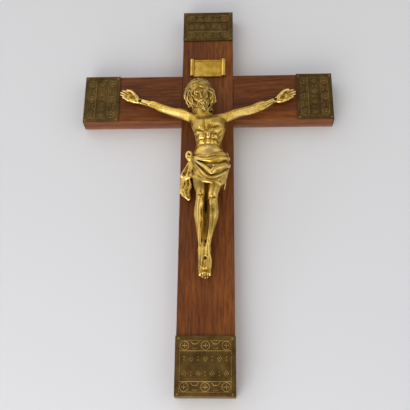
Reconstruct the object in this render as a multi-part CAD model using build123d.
"""A wall crucifix: two lapped beams with metal end plates, a cast figure in three castings, a blank titulus
scroll and a recessed ring hanger on the back."""

import math
import os

from build123d import *

# All lengths are in millimetres. X runs to the viewer's right, Y towards the wall and Z up. The origin is on the
# back face, where the centre lines of the two beams cross.

# The wooden cross, over its end plates. The upright's arms run from the centre of the crossing.
head_arm_length = 103.3
foot_arm_length = 288.7
crossbar_length = 249.0
beam_width = 51.5
wood_thickness = 15.5
edge_break = 0.5
lap_clearance = 0.15

# The end plates: a front panel and a flange over the end grain
plate_thickness = 1.2
end_plate_length = 35.6
foot_plate_length = 51.4
foot_plate_overhang = 0.6
plate_bend_radius = 0.9
flange_setback = 0.4
rim_width = 3.8
field_depth = 0.4
band_rib_width = 0.9
band_rib_places_share = (0.30, 0.70)

# Brads that hold the end plates
brad_inset = 2.3
brad_shank_radius = 0.5
brad_length = 8.0
brad_head_radius = 0.9
brad_head_height = 0.4

# The titulus scroll above the figure's head
titulus_width = 36.0
titulus_height = 19.4
titulus_thickness = 1.4
titulus_roll_radius = 2.1
titulus_gap = 15.7
titulus_border_width = 1.4
titulus_border_height = 0.35
titulus_pin_radius = 0.6
titulus_pin_length = 8.0
titulus_pin_head_radius = 1.1
titulus_pin_head_height = 0.5
titulus_pin_spacing = 24.0

# The cast figure
figure_height = 198.5
figure_rise = 8.6
figure_depth = 26.0
arm_span = 175.0
arm_rise = 30.7
shoulder_seam_share = 0.095
shoulder_drop_share = 0.178
shoulder_pin_radius = 1.5
shoulder_pin_length = 9.0

# Nails that hold the figure on the wood
nail_radius = 1.0
nail_head_radius = 1.7
nail_head_height = 0.9
nail_bite = 8.0
wrist_nail_seat = 6.6
foot_nail_seat = 13.2

# The ring hanger, sunk in a pocket in the back of the upright
hanger_drop = 40.0
pocket_width = 24.0
pocket_height = 36.0
pocket_depth = 5.0
pocket_corner_radius = 5.0
ring_wire_radius = 1.0
ring_width = 16.0
ring_height = 14.0
ring_corner_radius = 2.2
ring_lean_gap = 0.3
strap_thickness = 1.0
strap_width = 9.0
strap_length = 13.0
strap_corner_radius = 2.0
hanger_screw_drop = 7.5
screw_radius = 1.3
screw_length = 7.0
screw_head_radius = 2.6
screw_head_height = 1.5
screw_slot_width = 0.7
screw_slot_depth = 0.6

# Clearances and cutting overrun
fit_clearance = 0.05
running_clearance = 0.06
overrun = 2.0

# Places worked out from the sizes above
front_y = -wood_thickness
panel_y = front_y - plate_thickness
lap_y = -wood_thickness / 2
side_reach = crossbar_length / 2
hanger_rise = head_arm_length - hanger_drop
titulus_rise = figure_rise + titulus_gap + titulus_height / 2
pocket_floor_y = -pocket_depth
knuckle_radius = ring_wire_radius + running_clearance + strap_thickness
knuckle_y = pocket_floor_y + knuckle_radius

# The section tables of the figure. Each row holds the drop below the top of the hair, the centre's place to
# the viewer's right and the half width as shares of the figure's height, then the centre's depth in front of
# the wood and the half depth as shares of the figure's depth.
torso_shares = (
    (0.150, -0.019, 0.029, 0.56, 0.21),
    (0.180, -0.006, 0.048, 0.52, 0.25),
    (0.206, 0.003, 0.081, 0.47, 0.34),
    (0.242, 0.007, 0.082, 0.49, 0.40),
    (0.290, 0.012, 0.073, 0.49, 0.37),
    (0.338, 0.013, 0.062, 0.46, 0.32),
    (0.376, 0.017, 0.068, 0.46, 0.35),
    (0.410, 0.020, 0.081, 0.45, 0.38),
    (0.490, 0.017, 0.080, 0.45, 0.38),
)
head_shares = (
    (0.000, -0.029, 0.026, 0.78, 0.18),
    (0.012, -0.034, 0.044, 0.76, 0.33),
    (0.032, -0.042, 0.061, 0.74, 0.44),
    (0.056, -0.046, 0.074, 0.73, 0.50),
    (0.082, -0.038, 0.075, 0.73, 0.51),
    (0.110, -0.032, 0.067, 0.75, 0.47),
    (0.137, -0.025, 0.049, 0.78, 0.38),
    (0.158, -0.021, 0.030, 0.80, 0.26),
    (0.176, -0.020, 0.013, 0.80, 0.12),
)
left_leg_shares = (
    (0.505, -0.023, 0.041, 0.50, 0.34),
    (0.545, -0.026, 0.035, 0.60, 0.32),
    (0.597, -0.023, 0.026, 0.67, 0.27),
    (0.645, -0.027, 0.024, 0.60, 0.24),
    (0.683, -0.031, 0.025, 0.52, 0.24),
    (0.735, -0.029, 0.022, 0.44, 0.21),
    (0.804, -0.028, 0.014, 0.34, 0.15),
    (0.850, -0.024, 0.014, 0.28, 0.15),
    (0.905, -0.016, 0.018, 0.20, 0.18),
    (0.950, -0.015, 0.019, 0.14, 0.16),
    (0.982, -0.014, 0.012, 0.09, 0.10),
)
right_leg_shares = (
    (0.505, 0.035, 0.041, 0.50, 0.34),
    (0.545, 0.036, 0.035, 0.60, 0.32),
    (0.605, 0.031, 0.027, 0.67, 0.27),
    (0.645, 0.031, 0.025, 0.62, 0.24),
    (0.690, 0.033, 0.026, 0.54, 0.24),
    (0.735, 0.029, 0.020, 0.48, 0.21),
    (0.785, 0.021, 0.015, 0.45, 0.17),
    (0.835, 0.011, 0.014, 0.43, 0.16),
    (0.880, 0.007, 0.018, 0.41, 0.17),
    (0.925, 0.003, 0.024, 0.36, 0.17),
    (0.962, -0.001, 0.026, 0.29, 0.13),
    (0.992, -0.003, 0.016, 0.21, 0.08),
)
cloth_shares = (
    (0.395, 0.019, 0.082, 0.45, 0.43),
    (0.412, 0.021, 0.088, 0.46, 0.50),
    (0.435, 0.022, 0.085, 0.46, 0.48),
    (0.475, 0.019, 0.087, 0.47, 0.50),
    (0.522, 0.010, 0.083, 0.51, 0.50),
    (0.575, 0.004, 0.072, 0.58, 0.44),
)
tail_shares = (
    (0.365, -0.083, 0.0103, 0.36, 0.10),
    (0.392, -0.091, 0.0186, 0.36, 0.17),
    (0.440, -0.095, 0.023, 0.32, 0.15),
    (0.495, -0.101, 0.028, 0.28, 0.16),
    (0.560, -0.099, 0.025, 0.25, 0.14),
    (0.622, -0.087, 0.0062, 0.22, 0.06),
)
cloth_folds = 9
cloth_fold_share = 0.035
tail_folds = 5
tail_fold_share = 0.12
hem_tilt = 9.0
hem_drop_share = 0.545

# The section table of an arm. Each row holds the place along the reach from the shoulder seam to the finger
# tips, the rise as a share of the arm's rise, the half height as a share of the reach, then depth and half
# depth as above. The rows lie evenly along the arm, so that its skin runs without waves.
arm_shares = (
    (-0.20, -0.18, 0.058, 0.47, 0.18),
    (0.00, -0.035, 0.078, 0.46, 0.25),
    (0.125, 0.092, 0.070, 0.43, 0.22),
    (0.25, 0.193, 0.064, 0.39, 0.19),
    (0.375, 0.305, 0.066, 0.345, 0.17),
    (0.50, 0.435, 0.058, 0.285, 0.15),
    (0.625, 0.578, 0.047, 0.22, 0.125),
    (0.75, 0.735, 0.066, 0.165, 0.115),
    (0.875, 0.86, 0.070, 0.135, 0.075),
)
seam_row = 1
wrist_shares = (0.70, 0.67)
# Each finger's row holds the rise of its root and of its tip from the palm's centre line as shares of the
# reach, and the reach of its tip as a share of the arm's reach.
finger_shares = (
    (0.058, 0.066, 0.965),
    (0.022, 0.026, 1.000),
    (-0.016, -0.016, 0.985),
    (-0.053, -0.056, 0.945),
)
finger_root_share = 0.84
finger_radius_share = 0.022
finger_tip_share = 0.014
thumb_root_shares = (0.755, 0.050)
thumb_tip_shares = (0.880, 0.112)
finger_steps_share = (0.0, 0.5, 0.9, 1.0)
finger_depth_shares = (0.10, 0.08)
finger_lift_share = 0.02
foot_nail_shares = (0.904, -0.002)
section_points = 12
fold_points = 36


def drill(x, y, z, radius, length):
    """A cutting cylinder along Y that starts at y and runs towards the wall."""
    return Pos(x, y + length / 2, z) * Rot(90, 0, 0) * Cylinder(radius, length)


def save(name, shape):
    """Writes one node. A list is a group of separate solids."""
    os.makedirs("parts", exist_ok=True)
    whole = Compound(children=list(shape)) if isinstance(shape, list) else shape
    export_step(whole, f"parts/{name}.step")


def cut_all(shape, cutters):
    for cutter in cutters:
        shape = shape - cutter
    return shape


# The end plates and their brads. Each is made at the head of the cross and turned to its own end.
plate_places = {
    "head": (0, head_arm_length, end_plate_length, 0.0),
    "right": (90, side_reach, end_plate_length, 0.0),
    "foot": (180, foot_arm_length, foot_plate_length, foot_plate_overhang),
    "left": (-90, side_reach, end_plate_length, 0.0),
}


def to_end(turn, reach):
    return Rot(0, turn, 0) * Pos(0, 0, reach)


def brad_places(length):
    side = beam_width / 2 - brad_inset
    return [(x, z) for x in (-side, side) for z in (-brad_inset, brad_inset - length)]


def end_plate(length, overhang):
    """An L of sheet metal with a raised rim, two ribs across its field and a hole for each brad."""
    profile = Polyline(
        (0, panel_y, -length),
        (0, panel_y, 0),
        (0, -flange_setback, 0),
        (0, -flange_setback, -plate_thickness),
        (0, front_y, -plate_thickness),
        (0, front_y, -length),
        close=True,
    )
    width = beam_width + 2 * overhang
    plate = extrude(make_face(profile), amount=width / 2, dir=(1, 0, 0), both=True)
    bend = plate.edges().filter_by(Axis.X).sort_by(Axis.Z)[-2:].sort_by(Axis.Y)[0]
    plate = fillet(bend, plate_bend_radius)
    field_length = length - 2 * rim_width
    field_y = panel_y + field_depth / 2
    plate -= Pos(0, field_y, -length / 2) * Box(width - 2 * rim_width, field_depth, field_length)
    for share in band_rib_places_share:
        rib_z = -rim_width - share * field_length
        plate += Pos(0, field_y, rib_z) * Box(width - 2 * rim_width, field_depth, band_rib_width)
    hole = brad_shank_radius + fit_clearance
    depth = plate_thickness + 2 * overrun
    holes = [drill(x, panel_y - overrun, z, hole, depth) for x, z in brad_places(length)]
    return cut_all(plate, holes)


def domed_pin(head_radius, head_height, shank_radius, length):
    """A round-headed pin along Y, its head's flat underside at the origin and its shank towards the wall."""
    dome = (head_radius**2 + head_height**2) / (2 * head_height)
    outline = [
        Line((0, -head_height, 0), (0, length, 0)),
        Line((0, length, 0), (shank_radius, length - shank_radius, 0)),
        Line((shank_radius, length - shank_radius, 0), (shank_radius, 0, 0)),
        Line((shank_radius, 0, 0), (head_radius, 0, 0)),
        RadiusArc((head_radius, 0, 0), (0, -head_height, 0), dome),
    ]
    return revolve(make_face(outline), axis=Axis.Y)


def plate_brads(length):
    brad = domed_pin(brad_head_radius, brad_head_height, brad_shank_radius, brad_length)
    return [Pos(x, panel_y, z) * brad for x, z in brad_places(length)]


def brad_holes(length):
    hole = brad_shank_radius + fit_clearance
    return [drill(x, panel_y, z, hole, brad_length + fit_clearance) for x, z in brad_places(length)]


# The titulus scroll: a thin sheet rolled at both ends, with a raised border, held by two pins
def titulus():
    flat_width = titulus_width - 2 * titulus_roll_radius
    sheet_y = front_y - titulus_thickness / 2
    scroll = Pos(0, sheet_y, titulus_rise) * Box(flat_width, titulus_thickness, titulus_height)
    border_y = front_y - titulus_thickness - titulus_border_height / 2
    frame = Box(flat_width, titulus_border_height, titulus_height)
    inner = 2 * titulus_border_width
    frame -= Box(flat_width - inner, titulus_border_height, titulus_height - inner)
    scroll += Pos(0, border_y, titulus_rise) * frame
    for side in (-1, 1):
        place = Pos(side * flat_width / 2, front_y - titulus_roll_radius, titulus_rise)
        scroll += place * Cylinder(titulus_roll_radius, titulus_height)
    hole = titulus_pin_radius + fit_clearance
    holes = [drill(x, front_y - overrun, titulus_rise, hole, 2 * overrun) for x in titulus_pin_xs]
    return cut_all(scroll, holes)


titulus_pin_xs = (-titulus_pin_spacing / 2, titulus_pin_spacing / 2)


def titulus_pins():
    pin = domed_pin(titulus_pin_head_radius, titulus_pin_head_height, titulus_pin_radius, titulus_pin_length)
    return [Pos(x, front_y - titulus_thickness, titulus_rise) * pin for x in titulus_pin_xs]


def titulus_pin_holes():
    hole = titulus_pin_radius + fit_clearance
    length = titulus_pin_length - titulus_thickness + fit_clearance
    return [drill(x, front_y, titulus_rise, hole, length) for x in titulus_pin_xs]


# The cast figure
def figure_y(depth_share):
    return front_y - figure_depth * depth_share


def level_section(row, folds=0, fold_share=0.0):
    """A closed outline in a level plane, rippled where cloth lies in folds."""
    drop, side, half_width, depth, half_depth = row
    count = fold_points if folds else section_points
    points = []
    for k in range(count):
        angle = 2 * math.pi * k / count
        swell = 1 + fold_share * math.cos(folds * angle)
        points.append(
            (
                figure_height * (side + half_width * swell * math.cos(angle)),
                figure_y(depth + half_depth * swell * math.sin(angle)),
                figure_rise - figure_height * drop,
            )
        )
    return Wire([Spline(*points, periodic=True)])


def column(rows, folds=0, fold_share=0.0):
    return Solid.make_loft([level_section(row, folds, fold_share) for row in rows])


shoulder_x = figure_height * shoulder_seam_share
shoulder_z = figure_rise - figure_height * shoulder_drop_share
arm_reach = arm_span / 2 - shoulder_x


def upright_section(x, z, half_height, depth, half_depth):
    """A closed outline in a plane across the arm."""
    points = []
    for k in range(section_points):
        angle = 2 * math.pi * k / section_points
        y = figure_y(depth + half_depth * math.cos(angle))
        points.append((x, y, z + half_height * math.sin(angle)))
    return Wire([Spline(*points, periodic=True)])


def arm_place(along, rise):
    return shoulder_x + arm_reach * along, shoulder_z + arm_rise * rise


def between(start, end, step):
    return start + (end - start) * step


def finger(root_along, root_rise, tip_along, tip_rise):
    sections = []
    for step in finger_steps_share:
        along = between(root_along, tip_along, step)
        x, z = arm_place(along, along + finger_lift_share)
        rise = arm_reach * between(root_rise, tip_rise, step)
        radius = arm_reach * between(finger_radius_share, finger_tip_share, step**3)
        depth = between(*finger_depth_shares, step)
        sections.append(upright_section(x, z + rise, radius, depth, radius / figure_depth))
    return Solid.make_loft(sections)


def arm_loft(rows):
    sections = []
    for along, rise, half_height, depth, half_depth in rows:
        x, z = arm_place(along, rise)
        sections.append(upright_section(x, z, arm_reach * half_height, depth, half_depth))
    return Solid.make_loft(sections)


def shoulder():
    """The stub of the viewer's right shoulder, from inside the chest to the seam."""
    return arm_loft(arm_shares[: seam_row + 1])


def whole_arm():
    """The viewer's right arm, from the seam to the finger tips."""
    arm = arm_loft(arm_shares[seam_row:])
    for root, tip, tip_along in finger_shares:
        arm += finger(finger_root_share, root, tip_along, tip)
    return arm + finger(*thumb_root_shares, *thumb_tip_shares)


def wood_side():
    """The block of space behind the wood's front face, where the figure's back is dressed flat."""
    return Pos(0, front_y + figure_depth / 2, 0) * Box(arm_span * 2, figure_depth, figure_height * 4)


def mirrored(shape):
    return mirror(shape, about=Plane.YZ)


seam_z = arm_place(*arm_shares[seam_row][:2])[1]
seam_y = figure_y(arm_shares[seam_row][3])
wrist_x, wrist_z = arm_place(*wrist_shares)
foot_nail_x = figure_height * foot_nail_shares[1]
foot_nail_z = figure_rise - figure_height * foot_nail_shares[0]


def shoulder_pin(side, clearance):
    pin = Cylinder(shoulder_pin_radius + clearance, shoulder_pin_length + 2 * clearance)
    return Pos(side * shoulder_x, seam_y, seam_z) * Rot(0, 90, 0) * pin


def nail(x, z, seat):
    shank = seat + nail_bite
    return Pos(x, front_y - seat, z) * domed_pin(nail_head_radius, nail_head_height, nail_radius, shank)


def nail_hole(x, z, seat):
    """The stepped hole that a nail leaves in the casting and in the wood behind it."""
    shank = drill(x, front_y - seat, z, nail_radius + fit_clearance, seat + nail_bite + fit_clearance)
    sink = drill(x, front_y - seat - figure_depth, z, nail_head_radius + 2 * fit_clearance, figure_depth)
    return [shank, sink]


wrist_holes = {side: nail_hole(side * wrist_x, wrist_z, wrist_nail_seat) for side in (-1, 1)}
foot_hole = nail_hole(foot_nail_x, foot_nail_z, foot_nail_seat)


def castings():
    """The body and both arms, parted at the shoulder seams and dressed flat where they lie on the wood."""
    body = column(torso_shares) + shoulder() + mirrored(shoulder())
    body += column(head_shares)
    body += column(left_leg_shares) + column(right_leg_shares)
    hem_z = figure_rise - figure_height * hem_drop_share
    below_hem = Pos(0, 0, -figure_height) * Box(arm_span, figure_depth * 4, figure_height * 2)
    below_hem = Rot(0, hem_tilt, 0) * below_hem
    body += column(cloth_shares, cloth_folds, cloth_fold_share) - Pos(0, front_y, hem_z) * below_hem
    body += column(tail_shares, tail_folds, tail_fold_share)
    body = cut_all(body - wood_side(), foot_hole)
    right = whole_arm() - wood_side()
    arms = {1: right, -1: mirrored(right)}
    for side in (-1, 1):
        body -= shoulder_pin(side, fit_clearance)
        arms[side] = cut_all(arms[side], wrist_holes[side] + [shoulder_pin(side, fit_clearance)])
    return body, arms


# The ring hanger
def hanger_ring():
    """A closed D of round wire, leaning in against the pocket's floor."""
    half = ring_width / 2 - ring_wire_radius
    top = ring_height - ring_wire_radius
    turn = ring_corner_radius
    corner = turn * (1 - math.sqrt(0.5))
    path = Wire(
        [
            Line((0, 0, 0), (half - turn, 0, 0)),
            ThreePointArc((half - turn, 0, 0), (half - corner, 0, corner), (half, 0, turn)),
            Line((half, 0, turn), (half, 0, top - half)),
            ThreePointArc((half, 0, top - half), (0, 0, top), (-half, 0, top - half)),
            Line((-half, 0, top - half), (-half, 0, turn)),
            ThreePointArc((-half, 0, turn), (corner - half, 0, corner), (turn - half, 0, 0)),
            Line((turn - half, 0, 0), (0, 0, 0)),
        ]
    )
    ring = sweep(Plane((0, 0, 0), z_dir=(1, 0, 0)) * Circle(ring_wire_radius), path=path)
    lean = math.degrees(math.asin((knuckle_y - pocket_floor_y - ring_wire_radius - ring_lean_gap) / top))
    return Pos(0, knuckle_y, hanger_rise) * Rot(lean, 0, 0) * ring


def hanger_strap():
    """A strip of sheet whose upper end is curled round the ring's bar."""
    inner = knuckle_radius - strap_thickness
    curl_end = -math.sqrt(knuckle_radius**2 - inner**2)
    outer_y = pocket_floor_y + strap_thickness
    outline = [
        Line((0, pocket_floor_y, -strap_length), (0, pocket_floor_y, 0)),
        ThreePointArc(
            (0, pocket_floor_y, 0), (0, knuckle_y, knuckle_radius), (0, knuckle_y + knuckle_radius, 0)
        ),
        ThreePointArc(
            (0, knuckle_y + knuckle_radius, 0), (0, knuckle_y, -knuckle_radius), (0, outer_y, curl_end)
        ),
        Line((0, outer_y, curl_end), (0, outer_y, -strap_length)),
        Line((0, outer_y, -strap_length), (0, pocket_floor_y, -strap_length)),
    ]
    strap = extrude(make_face(outline), amount=strap_width / 2, dir=(1, 0, 0), both=True)
    corners = strap.edges().filter_by(Axis.Y).group_by(Axis.Z)[0]
    strap = fillet(corners, strap_corner_radius)
    strap -= Pos(0, knuckle_y, 0) * Rot(0, 90, 0) * Cylinder(inner, strap_width + 2 * overrun)
    hole = drill(0, pocket_floor_y - overrun, -hanger_screw_drop, screw_radius + fit_clearance, 2 * overrun)
    return Pos(0, 0, hanger_rise) * (strap - hole)


def hanger_screw():
    """A slotted round-head screw, driven from the back towards the front."""
    screw = domed_pin(screw_head_radius, screw_head_height, screw_radius, screw_length)
    slot_y = screw_slot_depth / 2 - screw_head_height
    screw -= Pos(0, slot_y, 0) * Box(2 * screw_head_radius, screw_slot_depth, screw_slot_width)
    place = Pos(0, pocket_floor_y + strap_thickness, hanger_rise - hanger_screw_drop)
    return place * Rot(0, 0, 180) * screw


def hanger_pocket():
    outline = RectangleRounded(pocket_width, pocket_height, pocket_corner_radius)
    pocket = extrude(Plane.XZ * outline, amount=pocket_depth, both=True)
    depth = screw_length - strap_thickness + fit_clearance
    hole = drill(0, pocket_floor_y - depth, -hanger_screw_drop, screw_radius + fit_clearance, depth)
    return [Pos(0, 0, hanger_rise) * pocket, Pos(0, 0, hanger_rise) * hole]


# The two beams, half-lapped so that the upright runs unbroken at the front
def beams():
    top = head_arm_length - plate_thickness
    bottom = plate_thickness - foot_arm_length
    upright = Pos(0, lap_y, (top + bottom) / 2) * Box(beam_width, wood_thickness, top - bottom)
    upright = chamfer(upright.edges().filter_by(Axis.Z), edge_break)
    crossbar = Pos(0, lap_y, 0) * Box(2 * (side_reach - plate_thickness), wood_thickness, beam_width)
    crossbar = chamfer(crossbar.edges().filter_by(Axis.X), edge_break)
    lap = beam_width + 2 * lap_clearance
    upright -= Pos(0, 0, 0) * Box(beam_width * 2, wood_thickness, lap)
    crossbar -= Pos(0, -wood_thickness, 0) * Box(lap, wood_thickness, beam_width * 2)
    upright = cut_all(upright, hanger_pocket() + titulus_pin_holes() + foot_hole)
    for name, (turn, reach, length, overhang) in plate_places.items():
        holes = [to_end(turn, reach) * hole for hole in brad_holes(length)]
        if name in ("head", "foot"):
            upright = cut_all(upright, holes)
        else:
            crossbar = cut_all(crossbar, holes)
    return upright, cut_all(crossbar, wrist_holes[-1] + wrist_holes[1])


if __name__ == "__main__":
    upright_beam, crossbar_beam = beams()
    save("upright_beam", upright_beam)
    save("crossbar", crossbar_beam)
    for name, (turn, reach, length, overhang) in plate_places.items():
        save(f"{name}_end_plate", to_end(turn, reach) * end_plate(length, overhang))
        save(f"{name}_plate_brads", [to_end(turn, reach) * brad for brad in plate_brads(length)])
    save("titulus_scroll", titulus())
    save("titulus_pins", titulus_pins())
    corpus_body, corpus_arms = castings()
    save("corpus_body", corpus_body)
    save("corpus_arm_left", corpus_arms[-1])
    save("corpus_arm_right", corpus_arms[1])
    save("shoulder_pins", [shoulder_pin(side, 0) for side in (-1, 1)])
    save("wrist_nail_left", nail(-wrist_x, wrist_z, wrist_nail_seat))
    save("wrist_nail_right", nail(wrist_x, wrist_z, wrist_nail_seat))
    save("foot_nail", nail(foot_nail_x, foot_nail_z, foot_nail_seat))
    save("hanger_strap", hanger_strap())
    save("hanger_ring", hanger_ring())
    save("hanger_screw", hanger_screw())
